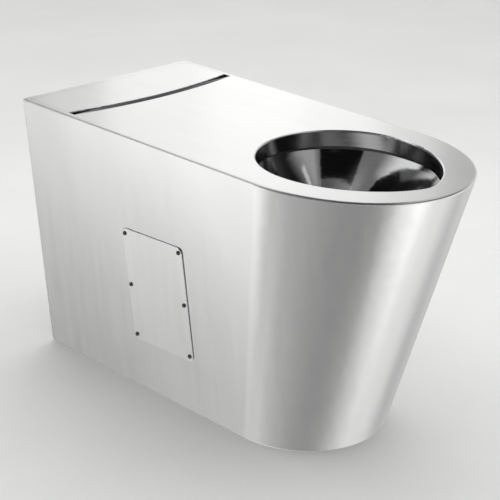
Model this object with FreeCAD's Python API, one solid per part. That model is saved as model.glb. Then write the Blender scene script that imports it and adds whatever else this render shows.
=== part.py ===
import FreeCAD, Part
import math
import os
from FreeCAD import Vector as V

os.makedirs("parts", exist_ok=True)

# ---------------------------------------------------------------- driving dimensions (mm)
WIDTH = 360.0            # deck width
LENGTH = 760.0           # wall face to front tip
HEIGHT = 450.0           # floor to deck
BASE_HALF = 133.5        # half width of the plinth at the floor
BASE_LENGTH = 620.0      # wall face to the front of the plinth
TOP_NOSE = 215.0         # length of the elliptical front of the deck
BASE_NOSE = 134.0        # length of the elliptical front of the plinth
SHEET = 2.0              # shroud sheet
DECK = 2.0               # deck sheet
DECK_EDGE = 3.0          # rolled edge of the deck
DECK_DROP = 6.0          # the deck's edge turns down this far to meet the shroud
SHEET_EDGE = 1.4         # dressed outer edges of the shroud

EGG_Y = -169.5           # widest line of the bowl opening
EGG_R = 130.4            # rear half circle of the opening
EGG_SIDE = 180.4         # side arcs of the opening
EGG_NOSE = 46.6          # front arc of the opening
LIP = 3.0                # rolled lip of the opening
COLLAR = 26.0            # visible depth of the collar
RIM_GAP = 16.0           # flush channel behind the collar
CH_LOW = 414.0           # weld between the flush channel and the bowl
BOWL_T = 2.0

THROAT_Y = -140.0        # centre of the bowl outlet
THROAT_Z = 150.0
SUMP_Z = 266.0           # weld between the bowl and its sump
TRAP_R = 41.0            # trapway tube, outer
TRAP_T = 2.0
TRAP_BEND = 60.0         # bend radius of the trapway
TRAP_LOW = 54.0          # lowest point of the trapway axis
OUTLET_Z = 182.0         # axis of the waste outlet
SPIGOT_R = 51.0          # waste spigot, outer
SPIGOT_L = 70.0

FLUSH_R = 16.0           # flush pipe, outer
FLUSH_T = 2.0
FLUSH_Z = 340.0          # axis of the flush inlet
RIM_Z = 431.0            # axis of the flush pipe where it meets the rim
SOCKET_R = 30.5          # inside of the flush socket
SEAL_R = 27.5            # bore of the inlet seal

SLOT_Y = 246.5           # middle of the curved finger gap
SLOT_ARC = 850.0         # radius of the gap
SLOT_W = 15.7
SLOT_HALF = 171.0        # half length of the gap
COVER_REAR = 370.0
GUTTER_Y0, GUTTER_Y1 = 236.5, 261.8     # gutter under the gap, front to rear
GUTTER_Z = 433.0
GUTTER_T = 1.5

PANEL_Y = 73.9           # centre of the side access panel
PANEL_Z = 192.4
PANEL_W = 142.0
PANEL_H = 198.0
PANEL_T = 1.5
PANEL_TURN = 2.2         # the panel is turned this much in the side wall
SCREW_Y = 63.9
SCREW_Z = 90.4
GASKET_T = 0.5
LIFT = 0.3               # air under the pieces that come off

WALL_X, WALL_Z0, WALL_Z1 = 115.0, 90.0, 330.0     # wall fixing holes
FLOOR_X, FLOOR_Y0, FLOOR_Y1 = 90.0, -20.0, 205.0  # floor fixing holes

YW = LENGTH / 2.0        # wall face


# ---------------------------------------------------------------- helpers
def sharp(reach, base):
    """Where a flat wall would meet the top of the deck when the rolled edge there reaches this far out."""
    t = reach
    for _ in range(20):
        a = math.atan2(t - base, HEIGHT)
        t = reach + DECK_EDGE * (math.tan(a) + 1.0 / math.cos(a) - 1.0)
    return t


TOP_HALF = sharp(WIDTH / 2.0, BASE_HALF)
TOP_LENGTH = sharp(LENGTH, BASE_LENGTH)


def mix(lo, hi, z):
    return lo + (hi - lo) * z / HEIGHT


def section(z, inset=0.0, rear=YW):
    """Plan outline of the shroud at height z: side, elliptical nose, side, rear, as a list of edges."""
    a = mix(BASE_HALF, TOP_HALF, z) - inset
    b = mix(BASE_NOSE, TOP_NOSE + TOP_LENGTH - LENGTH, z) - inset
    yc = YW - mix(BASE_LENGTH - BASE_NOSE, LENGTH - TOP_NOSE, z)
    n = 32
    th = [math.pi * i / n for i in range(n + 1)]
    pts = [V(-a * math.cos(t), yc - b * math.sin(t), z) for t in th]
    nose = Part.BSplineCurve()
    nose.interpolate(Points=pts, Parameters=th, InitialTangent=V(0, -b, 0), FinalTangent=V(0, b, 0), Scale=False)
    p0, p1 = V(-a, rear, z), V(a, rear, z)
    edges = [
        Part.LineSegment(p0, pts[0]).toShape(),
        nose.toShape(),
        Part.LineSegment(pts[-1], p1).toShape(),
        Part.LineSegment(p1, p0).toShape(),
    ]
    return edges, [p0, pts[0], pts[-1], p1]


def body(z0, z1, inset=0.0, rear=YW):
    """Tapering block between two heights: flat sides and rear, a ruled nose."""
    e0, c0 = section(z0, inset, rear)
    e1, c1 = section(z1, inset, rear)
    faces = [Part.Face(Part.Wire(e0)), Part.Face(Part.Wire(e1)), Part.makeRuledSurface(e0[1], e1[1])]
    for i, j in ((0, 1), (2, 3), (3, 0)):
        faces.append(Part.Face(Part.makePolygon([c0[i], c0[j], c1[j], c1[i], c0[i]])))
    mid = V(0, 0, (z0 + z1) / 2.0)
    for f in faces:
        u0, u1, v0, v1 = f.ParameterRange
        u, v = (u0 + u1) / 2.0, (v0 + v1) / 2.0
        if f.normalAt(u, v).dot(f.valueAt(u, v) - mid) < 0:
            f.reverse()
    shell = Part.makeShell(faces)
    shell.sewShape()
    return Part.makeSolid(shell)


def level_edges(solid, z):
    """Side and nose edges of a block at height z, without the rear edge."""
    return [e for e in solid.Edges if all(abs(v.Z - z) < 1e-4 for v in e.Vertexes)
            and not all(abs(v.Y - YW) < 1e-3 for v in e.Vertexes)]


def rear_edges(solid):
    """The two upright rear edges of a block."""
    return [e for e in solid.Edges if all(abs(v.Y - YW) < 1e-3 for v in e.Vertexes)
            and abs(e.Vertexes[0].Z - e.Vertexes[-1].Z) > 1.0]


def egg(z, e=0.0):
    """Outline of the bowl opening at height z, grown outwards by e."""
    r1, r2, r3 = EGG_R + e, EGG_SIDE + e, EGG_NOSE + e
    off = EGG_SIDE - EGG_R
    d = math.sqrt((EGG_SIDE - EGG_NOSE) ** 2 - off ** 2)
    u = V(off, -d, 0)
    u.normalize()
    c = V(0, EGG_Y, z)
    tr = V(0, EGG_Y - d, z) + u * r3
    tl = V(-tr.x, tr.y, z)
    k = (u + V(1, 0, 0))
    k.normalize()
    mr = V(-off, EGG_Y, z) + k * r2
    ml = V(-mr.x, mr.y, z)
    a, b = V(r1, EGG_Y, z), V(-r1, EGG_Y, z)
    return Part.Wire([
        Part.Arc(a, V(0, EGG_Y + r1, z), b).toShape(),
        Part.Arc(b, ml, tl).toShape(),
        Part.Arc(tl, V(0, EGG_Y - d - r3, z), tr).toShape(),
        Part.Arc(tr, mr, a).toShape(),
    ])


def egg_prism(e, z0, z1):
    return Part.Face(egg(z0, e)).extrude(V(0, 0, z1 - z0))


def egg_ring(e0, e1, z0, z1):
    return egg_prism(e1, z0, z1).cut(egg_prism(e0, z0 - 1, z1 + 1))


def box(x0, x1, y0, y1, z0, z1):
    return Part.makeBox(x1 - x0, y1 - y0, z1 - z0, V(x0, y0, z0))


def cyl(r, p, d, length):
    return Part.makeCylinder(r, length, p, d)


def tube(path, r, t):
    """Round tube along a path of edges that starts at its first vertex."""
    wire = Part.Wire(path)
    e = path[0]
    p = e.valueAt(e.FirstParameter)
    d = e.tangentAt(e.FirstParameter)
    outer = wire.makePipeShell([Part.Wire(Part.Circle(p, d, r).toShape())], True, False)
    inner = wire.makePipeShell([Part.Wire(Part.Circle(p, d, r - t).toShape())], True, False)
    return outer.cut(inner)


def yz(y, z):
    return V(0, y, z)


def line(p, q):
    return Part.LineSegment(p, q).toShape()


def arc(p, m, q):
    return Part.Arc(p, m, q).toShape()


def turned_ring(r0, r1, y0, y1, z):
    return cyl(r1, yz(y0, z), V(0, 1, 0), y1 - y0).cut(cyl(r0, yz(y0 - 1, z), V(0, 1, 0), y1 - y0 + 2))


def save(shape, name):
    shape = shape.removeSplitter()
    if not shape.isValid():
        raise ValueError("bad shape " + name)
    sol = shape.Solids
    print("%-24s solids %d  volume %.0f mm3  box %s" % (name, len(sol), shape.Volume, [round(v, 1) for v in (
        shape.BoundBox.XMin, shape.BoundBox.XMax, shape.BoundBox.YMin, shape.BoundBox.YMax,
        shape.BoundBox.ZMin, shape.BoundBox.ZMax)]))
    (sol[0] if len(sol) == 1 else Part.makeCompound(sol)).exportStep("parts/%s.step" % name)


# ---------------------------------------------------------------- side walls: local frame u (to the wall), s (up the slope), n (outwards)
SLOPE = math.atan2(TOP_HALF - BASE_HALF, HEIGHT)
SIDE_N = SHEET * math.cos(SLOPE)


def on_side(shape, left):
    """Put a shape drawn as x = outwards, y = towards the wall, z = up the slope onto a side wall."""
    s = shape.copy()
    s.rotate(V(0, 0, 0), V(0, 1, 0), math.degrees(SLOPE))
    s.translate(V(BASE_HALF, 0, 0))
    if left:
        s = s.mirror(V(0, 0, 0), V(1, 0, 0))
    return s


def turned(shape):
    """Turn a shape drawn around the panel's centre to the panel's place."""
    s = shape.copy()
    s.rotate(V(0, 0, 0), V(1, 0, 0), -PANEL_TURN)
    s.translate(V(0, PANEL_Y, PANEL_Z / math.cos(SLOPE)))
    return s


def plate(w, h, r, n0, n1):
    """Rounded rectangle in the local panel plane, from n0 to n1 outwards."""
    b = box(n0, n1, -w / 2, w / 2, -h / 2, h / 2)
    return b.makeFillet(r, [e for e in b.Edges if abs(e.tangentAt(e.FirstParameter).x) > 0.99])


def screw_spots():
    return [(u, s) for s in (-SCREW_Z, 0.0, SCREW_Z) for u in (-SCREW_Y, SCREW_Y)]


def pegs(r, n0, n1):
    out = [cyl(r, V(n0, u, s), V(1, 0, 0), n1 - n0) for u, s in screw_spots()]
    return out


def hexes(af, n0, n1):
    out = []
    for u, s in screw_spots():
        pts = [V(n0, u + af / math.sqrt(3) * math.cos(math.radians(60 * i)),
                 s + af / math.sqrt(3) * math.sin(math.radians(60 * i))) for i in range(7)]
        out.append(Part.Face(Part.makePolygon(pts)).extrude(V(n1 - n0, 0, 0)))
    return out


# ---------------------------------------------------------------- shroud
wrap = body(0, HEIGHT - DECK_DROP)
wrap = wrap.makeFillet(SHEET_EDGE, rear_edges(wrap) + level_edges(wrap, 0.0))
shroud = wrap.cut(body(0, HEIGHT - DECK_DROP, SHEET, YW + 20))
for left in (True, False):
    hole = turned(plate(105.0, 160.0, 12.0, -12.0, 12.0))
    shroud = shroud.cut(on_side(hole, left))
    for p in pegs(2.6, -8.0, 8.0):
        shroud = shroud.cut(on_side(turned(p), left))
corner = box(-200, 200, YW - 8, YW + 1, -1, 8).cut(cyl(8.0, V(-201, YW - 8, 8), V(1, 0, 0), 402))
shroud = shroud.cut(corner)
save(shroud, "shroud")


# ---------------------------------------------------------------- deck, cover and their support
def arc_disc(dy, z0, z1):
    """Everything on the wall side of the curved edge that lies dy behind the middle of the gap."""
    r = SLOT_ARC - dy
    return cyl(r, V(0, SLOT_Y + SLOT_ARC, z0), V(0, 0, 1), z1 - z0)


deck = body(HEIGHT - DECK_DROP, HEIGHT)
deck = deck.makeFillet(DECK_EDGE, level_edges(deck, HEIGHT))
deck = deck.cut(body(HEIGHT - DECK_DROP, HEIGHT - DECK, SHEET, YW + 20))
deck = deck.cut(egg_prism(LIP, HEIGHT - DECK - 1, HEIGHT + 1))
rear_hole = box(-SLOT_HALF, SLOT_HALF, 200, COVER_REAR, HEIGHT - DECK - 1, HEIGHT + 1).common(
    arc_disc(-SLOT_W / 2, HEIGHT - DECK - 1, HEIGHT + 1))
deck = deck.cut(rear_hole)
save(deck, "deck_plate")

cover = box(-SLOT_HALF + 0.4, SLOT_HALF - 0.4, 200, COVER_REAR - 0.4, HEIGHT - DECK + LIFT, HEIGHT).common(
    arc_disc(SLOT_W / 2, HEIGHT - DECK - 1, HEIGHT + 1))
front_edge = [e for e in cover.Edges if all(abs(v.Z - HEIGHT) < 1e-4 for v in e.Vertexes) and e.CenterOfMass.y < SLOT_Y + 20]
cover = cover.makeFillet(1.5, front_edge)
save(cover, "rear_cover")
clips = []
for sx in (-1, 1):
    x0, x1 = sorted((sx * 148.0, sx * 154.5))
    leg = box(x0, x1, 318, 348, 428, HEIGHT - DECK + LIFT)
    tip = [e for e in leg.Edges if all(abs(v.Z - 428) < 1e-4 for v in e.Vertexes) and abs(e.Vertexes[0].Y - e.Vertexes[1].Y) > 5]
    clips.append(leg.makeChamfer(2.0, tip))
save(Part.makeCompound(clips), "cover_clips")

ledge = box(-175, 175, 276, 377, HEIGHT - DECK - 2, HEIGHT - DECK).cut(
    box(-156, 156, 270, 357, HEIGHT - DECK - 3, HEIGHT))
save(ledge, "cover_ledge")

# three strips that catch what runs into the finger gap
save(box(-172, 172, GUTTER_Y0, GUTTER_Y1, GUTTER_Z, GUTTER_Z + GUTTER_T), "gutter_floor")
save(box(-172, 172, GUTTER_Y0, GUTTER_Y0 + GUTTER_T, GUTTER_Z + GUTTER_T, HEIGHT - DECK), "gutter_front")
save(box(-172, 172, GUTTER_Y1 - GUTTER_T, GUTTER_Y1, GUTTER_Z + GUTTER_T, 447.6), "gutter_rear")

# ---------------------------------------------------------------- rim and bowl
lip_z = HEIGHT - LIP
lip = egg_prism(LIP, lip_z - 1, HEIGHT).cut(egg_prism(0, lip_z - 2, HEIGHT + 1))
near = []
for e in lip.Edges:
    if all(abs(v.Z - HEIGHT) < 1e-4 for v in e.Vertexes):
        m = e.valueAt((e.FirstParameter + e.LastParameter) / 2)
        if egg(HEIGHT).distToShape(Part.Vertex(m))[0] < 0.05:
            near.append(e)
lip = lip.makeFillet(LIP - 0.05, near)
collar = lip.fuse(egg_ring(0, 2.0, HEIGHT - COLLAR, lip_z - 1))
save(collar, "rim_collar")

channel = egg_ring(RIM_GAP, RIM_GAP + BOWL_T, CH_LOW, HEIGHT - DECK)
channel = channel.cut(cyl(FLUSH_R - FLUSH_T, yz(-80, RIM_Z), V(0, 1, 0), 120))
save(channel, "rim_channel")

spray = egg_ring(2.0, RIM_GAP, HEIGHT - COLLAR, HEIGHT - COLLAR + 2)
mid = egg(HEIGHT - COLLAR - 1, (2.0 + RIM_GAP) / 2.0)
drops = [cyl(3.5, p, V(0, 0, 1), 5) for p in mid.discretize(31)[:-1]]
for d in drops:
    spray = spray.cut(d)
save(spray, "rim_spray_ring")


def bowl_wire(z, w, e):
    """Bowl section: the opening's outline drawn towards the round outlet by the share w."""
    rim_pts = egg(z, RIM_GAP + e)
    n = 64
    pts = []
    cy = EGG_Y * (1 - w) + THROAT_Y * w
    for i in range(n):
        t = 2 * math.pi * i / n + math.pi / 2
        # distance from the widest line's centre to the opening's outline in direction t
        ray_end = V(400 * math.cos(t), EGG_Y + 400 * math.sin(t), z)
        hit = rim_pts.distToShape(line(V(0, EGG_Y, z), ray_end))[1][0][0]
        r_rim = math.hypot(hit.x, hit.y - EGG_Y)
        r = r_rim * (1 - w) + (TRAP_R - TRAP_T + e) * w
        pts.append(V(r * math.cos(t), cy + r * math.sin(t), z))
    c = Part.BSplineCurve()
    c.interpolate(Points=pts, PeriodicFlag=True)
    return Part.Wire(c.toShape())


# height and share of each section: a round pressed bowl that turns down into a narrow sump
PROFILE = [(CH_LOW, 0.0), (397.0, 0.092), (380.0, 0.198), (362.0, 0.325), (345.0, 0.458), (328.0, 0.595), (312.0, 0.712),
           (296.0, 0.80), (278.0, 0.862), (255.0, 0.905), (215.0, 0.95), (180.0, 0.98), (THROAT_Z, 1.0)]
outer = Part.makeLoft([bowl_wire(z, w, BOWL_T) for z, w in PROFILE], True, False)
inner = Part.makeLoft([bowl_wire(z, w, 0.0) for z, w in PROFILE], True, False)
hopper = outer.cut(inner)
save(hopper.common(box(-300, 300, -500, 300, SUMP_Z, 600)), "bowl")
save(hopper.common(box(-300, 300, -500, 300, 0, SUMP_Z)), "bowl_sump")

# ---------------------------------------------------------------- trapway and waste outlet
u0, u1 = THROAT_Y, THROAT_Y + 2 * TRAP_BEND
zl = TRAP_LOW + TRAP_BEND
zu = OUTLET_Z - TRAP_BEND
s45 = math.sqrt(0.5) * TRAP_BEND
um = u0 + TRAP_BEND
save(tube([line(yz(u0, THROAT_Z), yz(u0, zl)),
           arc(yz(u0, zl), yz(um - s45, zl - s45), yz(um, TRAP_LOW))], TRAP_R, TRAP_T), "trap_down_bend")
save(tube([arc(yz(um, TRAP_LOW), yz(um + s45, zl - s45), yz(u1, zl)),
           line(yz(u1, zl), yz(u1, zu))], TRAP_R, TRAP_T), "trap_up_bend")
ub = u1 + TRAP_BEND
save(tube([arc(yz(u1, zu), yz(ub - s45, zu + s45), yz(ub, OUTLET_Z))], TRAP_R, TRAP_T), "trap_outlet_bend")
SP_END = YW - 8.0
SP_START = SP_END - SPIGOT_L
CONE = 30.0
save(turned_ring(TRAP_R - TRAP_T, TRAP_R, ub, SP_START - CONE, OUTLET_Z), "outlet_pipe")
cone = Part.makeCone(TRAP_R, SPIGOT_R, CONE, yz(SP_START - CONE, OUTLET_Z), V(0, 1, 0)).fuse(
    cyl(SPIGOT_R, yz(SP_START, OUTLET_Z), V(0, 1, 0), SPIGOT_L))
hollow = Part.makeCone(TRAP_R - TRAP_T, SPIGOT_R - TRAP_T, CONE, yz(SP_START - CONE, OUTLET_Z), V(0, 1, 0)).fuse(
    cyl(SPIGOT_R - TRAP_T, yz(SP_START, OUTLET_Z), V(0, 1, 0), SPIGOT_L))
save(cone.cut(hollow), "outlet_spigot")

# ---------------------------------------------------------------- flush pipe and inlet
back = EGG_Y + EGG_R + RIM_GAP + BOWL_T
FB = 60.0
c45 = math.sqrt(0.5)
ya, za = back + 20.0, RIM_Z
yb, zb = ya + FB * c45, za - FB * (1 - c45)
drop = (RIM_Z - FLUSH_Z) - 2 * FB * (1 - c45)
yc_, zc_ = yb + drop, zb - drop
yd, zd = yc_ + FB * c45, FLUSH_Z
half = math.radians(22.5)
m1 = yz(ya + FB * math.sin(half), za - FB * (1 - math.cos(half)))
m2 = yz(yd - FB * math.sin(half), zd + FB * (1 - math.cos(half)))
FL_END = 296.0
# the front end follows the round wall of the channel
pipe = tube([line(yz(back - 12, za), yz(ya, za)), arc(yz(ya, za), m1, yz(yb, zb))], FLUSH_R, FLUSH_T)
save(pipe.cut(egg_prism(RIM_GAP + BOWL_T, 380, 450)), "flush_pipe_rim")
save(tube([line(yz(yb, zb), yz(yc_, zc_))], FLUSH_R, FLUSH_T), "flush_pipe_drop")
save(tube([arc(yz(yc_, zc_), m2, yz(yd, zd)), line(yz(yd, zd), yz(FL_END, zd))], FLUSH_R, FLUSH_T), "flush_pipe_rear")
SO_T = 2.0
sock = Part.makeCone(FLUSH_R, SOCKET_R + SO_T, 30, yz(FL_END, FLUSH_Z), V(0, 1, 0)).fuse(
    cyl(SOCKET_R + SO_T, yz(FL_END + 30, FLUSH_Z), V(0, 1, 0), 46))
sock_in = Part.makeCone(FLUSH_R - FLUSH_T, SOCKET_R, 30, yz(FL_END, FLUSH_Z), V(0, 1, 0)).fuse(
    cyl(SOCKET_R, yz(FL_END + 30, FLUSH_Z), V(0, 1, 0), 46))
save(sock.cut(sock_in), "flush_inlet_socket")
SEAL_Y0, SEAL_Y1 = FL_END + 32.0, FL_END + 30 + 46 + 4.0
seal = turned_ring(SEAL_R, SOCKET_R, SEAL_Y0, SEAL_Y1, FLUSH_Z).fuse(
    turned_ring(SOCKET_R, SOCKET_R + 5.0, SEAL_Y1 - 4.0, SEAL_Y1, FLUSH_Z))
save(seal, "flush_inlet_seal")

# ---------------------------------------------------------------- frame inside the shroud
base = body(0, 3.0, SHEET, YW - 3.0).cut(body(-0.0, 3.0, SHEET + 20.0, YW + 20.0))
save(base, "base_flange")
bx = BASE_HALF - SHEET - 20.0
for name, yc in (("floor_rail_front", FLOOR_Y0), ("floor_rail_rear", FLOOR_Y1)):
    rail = box(-bx, bx, yc - 25, yc + 25, 0, 5)
    for sx in (-1, 1):
        rail = rail.cut(cyl(5.5, V(sx * FLOOR_X, yc, -1), V(0, 0, 1), 8))
    save(rail, name)
flange = body(0, HEIGHT - DECK, SHEET, YW)
for name, x0, x1, sx in (("wall_flange_left", -200, -98, -1), ("wall_flange_right", 98, 200, 1)):
    f = flange.common(box(x0, x1, YW - 3, YW, 0, HEIGHT - DECK))
    for z in (WALL_Z0, WALL_Z1):
        f = f.cut(cyl(6.0, V(sx * WALL_X, YW - 4, z), V(0, 1, 0), 6))
    f = f.cut(corner)
    save(f, name)
save(box(-98, 98, YW - 3, YW, 380, HEIGHT - DECK).fuse(box(-98, 98, YW - 35, YW - 3, 380, 383)), "rear_top_rail")
for name, y0 in (("deck_brace_front", 100.0), ("deck_brace_rear", 205.0)):
    save(box(-170, 170, y0, y0 + 25, HEIGHT - DECK - 2, HEIGHT - DECK).fuse(
        box(-170, 170, y0, y0 + 2, HEIGHT - DECK - 26, HEIGHT - DECK - 2)), name)
saddle = box(-36, 36, FLOOR_Y1 - 2, FLOOR_Y1 + 2, 5, 165).cut(cyl(TRAP_R, yz(150, OUTLET_Z), V(0, 1, 0), 100))
save(saddle, "trap_saddle")
hanger = box(-14, 14, 207, 210, FLUSH_Z - 4, HEIGHT - DECK - 2).cut(cyl(FLUSH_R, yz(190, FLUSH_Z), V(0, 1, 0), 40))
save(hanger, "flush_pipe_hanger")
EX, EZ = 132.0, 205.0
save(cyl(4.0, V(EX, YW - 3 - 24, EZ), V(0, 1, 0), 24), "earth_stud")
hexp = [V(EX + 13 / math.sqrt(3) * math.cos(math.radians(60 * i)), YW - 3 - 14, EZ + 13 / math.sqrt(3) * math.sin(math.radians(60 * i))) for i in range(7)]
nut = Part.Face(Part.makePolygon(hexp)).extrude(V(0, 6.5, 0)).fuse(cyl(9.0, V(EX, YW - 3 - 7.5, EZ), V(0, 1, 0), 1.6))
save(nut.cut(cyl(4.0, V(EX, YW - 40, EZ), V(0, 1, 0), 40)), "earth_nut")

# ---------------------------------------------------------------- side panels
for left, side in ((True, "left"), (False, "right")):
    pad = box(-SIDE_N - 0.02 - 4, -SIDE_N - 0.02, 168, 340, 130, 390)
    save(on_side(pad, left), "damping_pad_" + side)
    nuts = []
    for h, b in zip(hexes(7.0, -SIDE_N - 4.0, -SIDE_N), pegs(2.35, -20, 5)):
        nuts.append(on_side(turned(h.cut(b)), left))
    save(Part.makeCompound(nuts), side + "_weld_nuts")

    n0 = LIFT
    gk = plate(PANEL_W - 1.6, PANEL_H - 1.6, 9.2, n0, n0 + GASKET_T).cut(plate(109.0, 164.0, 12.0, n0 - 1, n0 + GASKET_T + 1))
    pn = plate(PANEL_W, PANEL_H, 10.0, n0 + GASKET_T, n0 + GASKET_T + PANEL_T)
    face = n0 + GASKET_T + PANEL_T
    top = [e for e in pn.Edges if all(abs(v.X - face) < 1e-4 for v in e.Vertexes)]
    pn = pn.makeFillet(0.6, top)
    for p in pegs(2.0, n0 - 2, face + 2):
        gk = gk.cut(p)
        pn = pn.cut(p)
    save(on_side(turned(gk), left), side + "_panel_gasket")
    save(on_side(turned(pn), left), side + "_access_panel")
    screws = []
    for (u, s), shank in zip(screw_spots(), pegs(2.0, -9.0, face)):
        head = cyl(3.6, V(face, u, s), V(1, 0, 0), 1.9)
        crown = [e for e in head.Edges if len(e.Vertexes) == 1 and abs(e.Vertexes[0].X - face - 1.9) < 1e-4]
        head = head.makeFillet(1.2, crown)
        pts = [V(face + 0.7, u + 1.45 * math.cos(math.radians(60 * i)), s + 1.45 * math.sin(math.radians(60 * i))) for i in range(7)]
        drive = Part.Face(Part.makePolygon(pts)).extrude(V(3, 0, 0))
        screws.append(on_side(turned(shank.fuse(head).cut(drive)), left))
    save(Part.makeCompound(screws), side + "_panel_screws")
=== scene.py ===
import math

import bpy
from mathutils import Matrix, Vector

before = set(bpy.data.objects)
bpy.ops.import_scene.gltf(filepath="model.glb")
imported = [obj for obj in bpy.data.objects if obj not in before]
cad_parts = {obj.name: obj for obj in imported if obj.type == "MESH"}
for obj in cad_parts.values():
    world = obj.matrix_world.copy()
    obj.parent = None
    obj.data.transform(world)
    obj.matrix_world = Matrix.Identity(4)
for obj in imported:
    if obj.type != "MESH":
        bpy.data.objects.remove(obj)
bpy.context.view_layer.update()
scene = bpy.context.scene
scene.view_settings.view_transform = "Standard"
scene.view_settings.look = "None"


# ------------------------------------------------------------------ small node helpers
def new_mat(name):
    m = bpy.data.materials.new(name)
    m.use_nodes = True
    nt = m.node_tree
    return m, nt, nt.nodes["Principled BSDF"]


def node(nt, kind, **kw):
    n = nt.nodes.new(kind)
    for k, v in kw.items():
        setattr(n, k, v)
    return n


def math_node(nt, op, a, b=None):
    n = node(nt, "ShaderNodeMath", operation=op)
    for i, v in enumerate((a, b)):
        if v is None:
            continue
        if isinstance(v, (int, float)):
            n.inputs[i].default_value = v
        else:
            nt.links.new(v, n.inputs[i])
    return n.outputs[0]


def noise(nt, scale, size=1.0, detail=3.0, rough=0.55, coord="Object"):
    """Noise in metres; scale is (x, y, z) cycles per metre."""
    tc = node(nt, "ShaderNodeTexCoord")
    mp = node(nt, "ShaderNodeMapping")
    mp.inputs["Scale"].default_value = scale
    nt.links.new(tc.outputs[coord], mp.inputs["Vector"])
    nz = node(nt, "ShaderNodeTexNoise")
    nz.inputs["Scale"].default_value = size
    nz.inputs["Detail"].default_value = detail
    nz.inputs["Roughness"].default_value = rough
    nt.links.new(mp.outputs[0], nz.inputs["Vector"])
    return nz.outputs["Fac"]


def ramp(nt, fac, lo, hi, a=0.0, b=1.0):
    r = node(nt, "ShaderNodeMapRange")
    r.inputs["From Min"].default_value = a
    r.inputs["From Max"].default_value = b
    r.inputs["To Min"].default_value = lo
    r.inputs["To Max"].default_value = hi
    nt.links.new(fac, r.inputs["Value"])
    return r.outputs[0]


def tint(nt, fac, dark, light):
    r = node(nt, "ShaderNodeValToRGB")
    r.color_ramp.elements[0].position = 0.3
    r.color_ramp.elements[1].position = 0.7
    r.color_ramp.elements[0].color = (*dark, 1)
    r.color_ramp.elements[1].color = (*light, 1)
    nt.links.new(fac, r.inputs[0])
    return r.outputs[0]


def bump(nt, bsdf, heights, strength, distance):
    total = heights[0]
    for h in heights[1:]:
        total = math_node(nt, "ADD", total, h)
    b = node(nt, "ShaderNodeBump")
    b.inputs["Strength"].default_value = strength
    b.inputs["Distance"].default_value = distance
    nt.links.new(total, b.inputs["Height"])
    nt.links.new(b.outputs[0], bsdf.inputs["Normal"])


# ------------------------------------------------------------------ materials
def satin(name, grain, base=(0.66, 0.66, 0.655), rough=(0.251, 0.269), fine=0.012):
    """Brushed stainless: hair-fine streaks along the grain, broader bands, soft clouding and a slight wave in the sheet."""
    m, nt, b = new_mat(name)
    b.inputs["Metallic"].default_value = 1.0
    streak = noise(nt, grain, detail=4.0, rough=0.6)
    band = noise(nt, tuple(max(1.5, g * 0.11) if g > 100 else g * 0.3 for g in grain), detail=3.0, rough=0.55)
    cloud = noise(nt, (7, 7, 5), detail=3.0, rough=0.6)
    wave = noise(nt, (5, 5, 4), detail=1.0, rough=0.4)
    tone = math_node(nt, "ADD", math_node(nt, "MULTIPLY", streak, 0.4), math_node(nt, "MULTIPLY", band, 0.6))
    nt.links.new(tint(nt, tone, tuple(c * 0.975 for c in base), tuple(c * 1.025 for c in base)), b.inputs["Base Color"])
    r = math_node(nt, "ADD", ramp(nt, tone, rough[0], rough[1], 0.3, 0.7), ramp(nt, cloud, -0.010, 0.010, 0.3, 0.7))
    nt.links.new(r, b.inputs["Roughness"])
    h = math_node(nt, "ADD", math_node(nt, "MULTIPLY", streak, fine * 0.0001), math_node(nt, "MULTIPLY", wave, 0.0006))
    bump(nt, b, [h], 1.0, 1.0)
    return m


def polished(name):
    """Mirror-polished stainless with faint buffing swirls and drawing ripples."""
    m, nt, b = new_mat(name)
    b.inputs["Metallic"].default_value = 1.0
    buff = noise(nt, (60, 60, 420), detail=4.0, rough=0.6)
    ripple = noise(nt, (9, 9, 14), detail=1.0, rough=0.4)
    nt.links.new(tint(nt, buff, (0.63, 0.635, 0.64), (0.69, 0.69, 0.69)), b.inputs["Base Color"])
    nt.links.new(ramp(nt, buff, 0.045, 0.10, 0.3, 0.7), b.inputs["Roughness"])
    bump(nt, b, [ripple], 0.25, 0.0008)
    return m


def dressed(name):
    """Collar of the rim: polished along its length after welding, a little duller than the bowl."""
    m, nt, b = new_mat(name)
    b.inputs["Metallic"].default_value = 1.0
    belt = noise(nt, (14, 14, 620), detail=4.0, rough=0.6)
    ripple = noise(nt, (11, 11, 20), detail=1.0, rough=0.4)
    nt.links.new(tint(nt, belt, (0.60, 0.60, 0.605), (0.68, 0.68, 0.68)), b.inputs["Base Color"])
    nt.links.new(ramp(nt, belt, 0.13, 0.20, 0.3, 0.7), b.inputs["Roughness"])
    bump(nt, b, [ripple], 0.25, 0.0005)
    return m


def mill(name, dark=(0.44, 0.44, 0.45), light=(0.58, 0.58, 0.58)):
    m, nt, b = new_mat(name)
    b.inputs["Metallic"].default_value = 1.0
    roll = noise(nt, (160, 25, 160), detail=4.0, rough=0.6)
    stain = noise(nt, (14, 14, 14), detail=4.0, rough=0.65)
    nt.links.new(tint(nt, stain, dark, light), b.inputs["Base Color"])
    nt.links.new(ramp(nt, roll, 0.38, 0.55, 0.3, 0.7), b.inputs["Roughness"])
    bump(nt, b, [roll, stain], 0.15, 0.0001)
    return m


def dark_screw(name):
    m, nt, b = new_mat(name)
    b.inputs["Metallic"].default_value = 1.0
    turn = noise(nt, (900, 900, 900), detail=3.0)
    nt.links.new(tint(nt, turn, (0.09, 0.09, 0.092), (0.15, 0.15, 0.152)), b.inputs["Base Color"])
    nt.links.new(ramp(nt, turn, 0.35, 0.5, 0.3, 0.7), b.inputs["Roughness"])
    bump(nt, b, [turn], 0.2, 0.0001)
    return m


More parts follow.
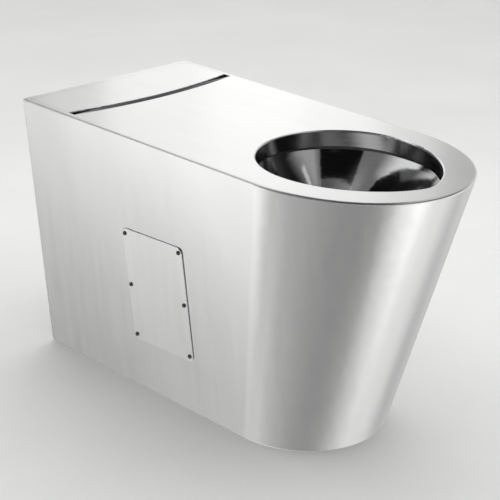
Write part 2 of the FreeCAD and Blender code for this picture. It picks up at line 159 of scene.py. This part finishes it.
def rubber(name, grey=0.025, grain=700, depth=0.0002):
    m, nt, b = new_mat(name)
    g = noise(nt, (grain, grain, grain), detail=3.0)
    cloud = noise(nt, (25, 25, 25), detail=3.0)
    nt.links.new(tint(nt, cloud, (grey * 0.8,) * 3, (grey * 1.35,) * 3), b.inputs["Base Color"])
    nt.links.new(ramp(nt, g, 0.6, 0.82, 0.3, 0.7), b.inputs["Roughness"])
    bump(nt, b, [g], 0.3, depth)
    return m


def ground_edges(mat, light):
    """Edges of a cut sheet that faces along X: painted highlight, a base colour lighter than the brushed face standing
    in for the light the edges catch.
    """
    nt = mat.node_tree
    b = nt.nodes["Principled BSDF"]
    face = b.inputs["Base Color"].links[0].from_socket
    sep = node(nt, "ShaderNodeSeparateXYZ")
    nt.links.new(node(nt, "ShaderNodeNewGeometry").outputs["True Normal"], sep.inputs[0])
    flat = ramp(nt, math_node(nt, "ABSOLUTE", sep.outputs["X"]), 0.0, 1.0, 0.5, 0.8)
    mix = node(nt, "ShaderNodeMix", data_type="RGBA")
    mix.inputs["A"].default_value = (*light, 1)
    nt.links.new(flat, mix.inputs["Factor"])
    nt.links.new(face, mix.inputs["B"])
    nt.links.new(mix.outputs["Result"], b.inputs["Base Color"])


def blasted(name, grey, metal):
    """Bead-blasted steel: an even, dull grey with a fine pitted surface."""
    m, nt, b = new_mat(name)
    b.inputs["Metallic"].default_value = metal
    pit = noise(nt, (1500, 1500, 1500), detail=3.0, rough=0.6)
    cloud = noise(nt, (30, 30, 30), detail=3.0)
    nt.links.new(tint(nt, cloud, (grey * 0.92,) * 3, (grey * 1.08,) * 3), b.inputs["Base Color"])
    nt.links.new(ramp(nt, pit, 0.45, 0.6, 0.3, 0.7), b.inputs["Roughness"])
    bump(nt, b, [pit], 0.2, 0.0001)
    return m


SIDE = satin("satin_side", (520, 520, 9))
PANEL = satin("satin_panel", (520, 520, 9), base=(0.715, 0.715, 0.71))
# painted highlight: the access panels' edges get a near-white base colour so their outline reads bright
ground_edges(PANEL, (0.93, 0.93, 0.925))
BLASTED = blasted("blasted_gutter", 0.48, 0.45)
TOP = satin("satin_deck", (420, 16, 420))
MIRROR = polished("polished_bowl")
DRESSED = dressed("polished_collar")
MILL = mill("mill_steel")
# painted shade: dark mill steel for the rim channel and spray ring darkens the shadowed gap between collar and bowl
PICKLED = mill("channel_painted_shade", (0.15, 0.15, 0.155), (0.25, 0.25, 0.25))
SCREW = dark_screw("dark_screws")
RUBBER = rubber("black_rubber")
# grey gasket round the panels, its grey raised above the rubber's own to lift the shaded crevice line: partly real
# colour, partly painted light
STRIP = rubber("grey_gasket_painted_light", 0.45, 500, 0.0002)
PAD = rubber("damping_sheet", 0.05, 350, 0.0004)

looks = {}
looks["shroud"] = SIDE
looks["rim_collar"] = DRESSED
looks["rim_channel"] = PICKLED
looks["rim_spray_ring"] = PICKLED
for n in ("left_access_panel", "right_access_panel"):
    looks[n] = PANEL
for n in ("deck_plate", "rear_cover"):
    looks[n] = TOP
for n in ("gutter_floor", "gutter_front", "gutter_rear"):
    looks[n] = BLASTED
for n in ("bowl", "bowl_sump"):
    looks[n] = MIRROR
for n in ("left_panel_screws", "right_panel_screws", "earth_stud", "earth_nut"):
    looks[n] = SCREW
looks["flush_inlet_seal"] = RUBBER
for n in ("left_panel_gasket", "right_panel_gasket"):
    looks[n] = STRIP
for n in ("damping_pad_left", "damping_pad_right"):
    looks[n] = PAD
for n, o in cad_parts.items():
    for s in o.material_slots:
        s.material = looks.get(n, MILL)


# ------------------------------------------------------------------ floor, light, camera
def stage_mat():
    m, nt, b = new_mat("pale_floor")
    c = noise(nt, (3, 3, 3), detail=4.0)
    nt.links.new(tint(nt, c, (0.80, 0.80, 0.79), (0.84, 0.84, 0.83)), b.inputs["Base Color"])
    nt.links.new(ramp(nt, c, 0.7, 0.8, 0.3, 0.7), b.inputs["Roughness"])
    return m


fm = bpy.data.meshes.new("floor")
fm.from_pydata([(-9, -9, 0), (9, -9, 0), (9, 9, 0), (-9, 9, 0)], [], [(0, 1, 2, 3)])
floor = bpy.data.objects.new("floor", fm)
scene.collection.objects.link(floor)
fm.materials.append(stage_mat())
floor.location.z = -0.0004
floor.visible_glossy = False
floor.visible_shadow = False

# the same floor under the hollow pan, where the steel above does see it
pts = [(-0.1325 * math.cos(math.pi * i / 48), -0.106 - 0.133 * math.sin(math.pi * i / 48), 0) for i in range(49)]
um = bpy.data.meshes.new("floor_under_pan")
um.from_pydata(pts + [(0.1325, 0.379, 0), (-0.1325, 0.379, 0)], [], [tuple(range(51))])
under = bpy.data.objects.new("floor_under_pan", um)
scene.collection.objects.link(under)
um.materials.append(fm.materials[0])
under.location.z = -0.0002


def aim(az, el):
    a, e = math.radians(az), math.radians(el)
    return Vector((math.sin(a) * math.cos(e), -math.cos(a) * math.cos(e), math.sin(e)))


# soft studio surround, written as radiance over direction: azimuth 0 looks along -Y, 90 along +X
world = bpy.data.worlds.new("studio")
scene.world = world
world.use_nodes = True
wt = world.node_tree
bg = wt.nodes["Background"]
DIR = node(wt, "ShaderNodeTexCoord").outputs["Generated"]
xyz = node(wt, "ShaderNodeSeparateXYZ")
wt.links.new(DIR, xyz.inputs[0])
DEG = 180.0 / math.pi


def op(kind, a, b=None):
    return math_node(wt, kind, a, b)


def add(*terms):
    t = terms[0]
    for u in terms[1:]:
        t = op("ADD", t, u)
    return t


def mul(*terms):
    t = terms[0]
    for u in terms[1:]:
        t = op("MULTIPLY", t, u)
    return t


def rise(x, a, b):
    """0 below a, 1 above b, smooth between."""
    r = node(wt, "ShaderNodeMapRange", interpolation_type="SMOOTHSTEP")
    r.inputs["From Min"].default_value = a
    r.inputs["From Max"].default_value = b
    wt.links.new(x, r.inputs["Value"])
    return r.outputs[0]


def fall(x, a, b):
    return op("SUBTRACT", 1.0, rise(x, a, b))


def lobe(az, el, k, s):
    d = node(wt, "ShaderNodeVectorMath", operation="DOT_PRODUCT")
    wt.links.new(DIR, d.inputs[0])
    d.inputs[1].default_value = aim(az, el)
    return mul(op("EXPONENT", mul(op("SUBTRACT", d.outputs["Value"], 1.0), k)), s)


AZ = mul(op("ARCTAN2", xyz.outputs["X"], mul(xyz.outputs["Y"], -1.0)), DEG)
NAZ = mul(AZ, -1.0)
EL = mul(op("ARCSINE", xyz.outputs["Z"]), DEG)

# light thrown up from the floor: pools of different width, some of them only trimming the others, and a band in front of the camera
band_low = mul(0.30, rise(EL, -40.0, -32.0), fall(EL, -16.0, -9.0), rise(AZ, -112.0, -96.0), fall(AZ, 14.0, 34.0))
low = add(
    lobe(-138.78, -21.02, 176.41, 3.400),
    lobe(-139.59, -64.36, 13.98, 1.800),
    lobe(18.59, -40.79, 74.17, 1.474),
    lobe(57.05, -10.10, 3.17, 1.770),
    lobe(-4.37, -40.95, 123.15, 1.800),
    lobe(-135.54, -29.52, 259.96, 1.705),
    lobe(-144.17, -32.24, 199.74, -0.600),
    lobe(78.28, -35.17, 27.88, -0.600),
    lobe(-118.82, -33.36, 199.46, 0.573),
    lobe(101.0, -40.0, 60.0, -0.150),
    lobe(40.0, -24.0, 35.0, -0.900),
    lobe(74.0, -4.0, 20.0, -0.900),
    band_low,
    0.244,
)
# the room above: dim, a soft pool behind the object, panels on both sides of the camera with a dark gap between them
panel_right = mul(add(mul(rise(AZ, -17.0, -9.0), 0.22), 0.20), rise(AZ, -19.8, -17.2),
                  fall(add(AZ, mul(op("SUBTRACT", EL, 25.0), 0.9)), -2.0, 26.0), rise(EL, 16.5, 20.5), fall(EL, 40.0, 54.0))
past = add(AZ, 112.0)
over_edge = op("SUBTRACT", EL, add(mul(past, 0.435), mul(op("MAXIMUM", past, 0.0), 4.5), 40.5))
panel_left = mul(add(mul(rise(NAZ, 96.0, 134.0), fall(EL, 38.5, 42.5), 0.76), 0.19), rise(NAZ, 72.3, 75.3), fall(NAZ, 147.0, 154.0),
                 fall(over_edge, -0.8, 0.8), fall(EL, 48.0, 54.0), op("SUBTRACT", 1.0, mul(fall(EL, 21.0, 24.0), fall(NAZ, 126.0, 131.0))))
over_band = op("SUBTRACT", EL, op("SUBTRACT", 31.5, mul(op("MAXIMUM", op("SUBTRACT", NAZ, 145.0), 0.0), 0.51)))
band_left = mul(add(mul(rise(NAZ, 150.0, 168.0), 0.55), 0.11), rise(NAZ, 133.0, 136.0), fall(NAZ, 170.0, 176.0), rise(over_edge, -0.8, 0.8),
                fall(over_band, -0.8, 0.8))
strip = mul(add(mul(rise(NAZ, 25.0, 65.0), 0.14), 0.11), rise(add(EL, mul(AZ, 0.16)), 35.5, 36.8), fall(EL, 48.0, 54.0), rise(AZ, -79.0, -74.0),
            fall(AZ, -21.0, -12.0))
high_pool = mul(0.80, rise(EL, 34.0, 47.0), fall(EL, 56.0, 78.0), rise(AZ, -8.0, 10.0), fall(AZ, 60.0, 120.0))
slant = add(AZ, mul(op("SUBTRACT", EL, 31.0), 0.6))
flare = mul(0.45, rise(slant, 1.5, 3.0), fall(slant, 5.5, 8.0), rise(EL, 27.0, 29.5), fall(EL, 40.0, 44.0))
gap_low = mul(0.26, rise(AZ, -52.0, -46.0), fall(AZ, -36.0, -30.0), rise(EL, 19.0, 22.0), fall(EL, 25.5, 27.5))
horizon = mul(0.35, fall(EL, 7.0, 15.0), op("SUBTRACT", 1.0, mul(rise(AZ, -20.0, -8.0), fall(AZ, 52.0, 66.0))))
back_high = mul(1.45, rise(op("ABSOLUTE", AZ), 144.0, 150.0), rise(EL, 36.5, 40.0), fall(EL, 54.0, 62.0))
side_high = mul(0.60, rise(AZ, 98.0, 112.0), fall(AZ, 136.0, 148.0), rise(EL, 36.5, 41.0), fall(EL, 54.0, 62.0))
high = add(lobe(136.0, 20.0, 8.0, 0.40), lobe(95.0, 15.0, 8.0, 0.7), back_high, side_high, lobe(-80.0, 49.0, 100.0, 0.14),
           panel_right, panel_left, band_left, strip, high_pool, flare, gap_low, horizon, mul(rise(EL, 46.0, 64.0), 0.042), mul(rise(EL, 68.0, 82.0), 0.20), 0.005)
below = fall(xyz.outputs["Z"], -0.06, 0.02)
total = add(mul(low, below), mul(high, op("SUBTRACT", 1.0, below)))
wt.links.new(total, bg.inputs["Strength"])
bg.inputs["Color"].default_value = (1, 1, 1, 1)


def softbox(name, at, target, size, size_y, radiance):
    d = bpy.data.lights.new(name, "AREA")
    d.shape = "RECTANGLE"
    d.size = size
    d.size_y = size_y
    d.energy = radiance * math.pi * size * size_y
    o = bpy.data.objects.new(name, d)
    scene.collection.objects.link(o)
    o.location = at
    o.rotation_euler = (Vector(target) - Vector(at)).to_track_quat("-Z", "Y").to_euler()
    o.visible_camera = False
    return o


# three cards of growing width, one just behind the other: a soft gradient over the deck
CARD_N = aim(136.0, 17.5)
CARD_U = Vector((0, 0, 1)).cross(CARD_N).normalized()
CARD_V = CARD_N.cross(CARD_U)
for name, depth, off, half, radiance in (
        ("deck_card_a", 1.194, 0.0033, 0.115, 0.127),
        ("deck_card_b", 1.200, 0.0313, 0.317, 0.338),
        ("deck_card_c", 1.206, 0.0488, 0.473, 0.463)):
    at = Vector((0, 0, 0.45)) + CARD_N * depth + CARD_U * off + CARD_V * 0.0482
    softbox(name, at, at - CARD_N, 2 * half, 0.644, radiance)
# even light for the floor, which the steel does not mirror
sky = softbox("floor_light", (0.0, 0.0, 3.2), (0.0, 0.0, 0.0), 7.0, 7.0, 1.08)
sky.visible_glossy = False

# camera: found from the outline of the photo, focal length in 500 px units
F_PX = 1650.1865
cam_d = bpy.data.cameras.new("camera")
cam = bpy.data.objects.new("camera", cam_d)
scene.collection.objects.link(cam)
cam_d.sensor_fit = "HORIZONTAL"
cam_d.sensor_width = 36.0
cam_d.lens = F_PX / 500.0 * 36.0
cam_d.clip_end = 100.0
CAM_AT = (-1.72965, -1.74009, 1.24374)
RIGHT, DOWN, FORWARD = ((0.7191736, -0.6945948, 0.0180915),
                        (-0.2490490, -0.2819943, -0.9265278),
                        (0.6486631, 0.6618287, -0.3757910))
m = Matrix((
    (RIGHT[0], -DOWN[0], -FORWARD[0], CAM_AT[0]),
    (RIGHT[1], -DOWN[1], -FORWARD[1], CAM_AT[1]),
    (RIGHT[2], -DOWN[2], -FORWARD[2], CAM_AT[2]),
    (0, 0, 0, 1),
))
cam.matrix_world = m
scene.camera = cam
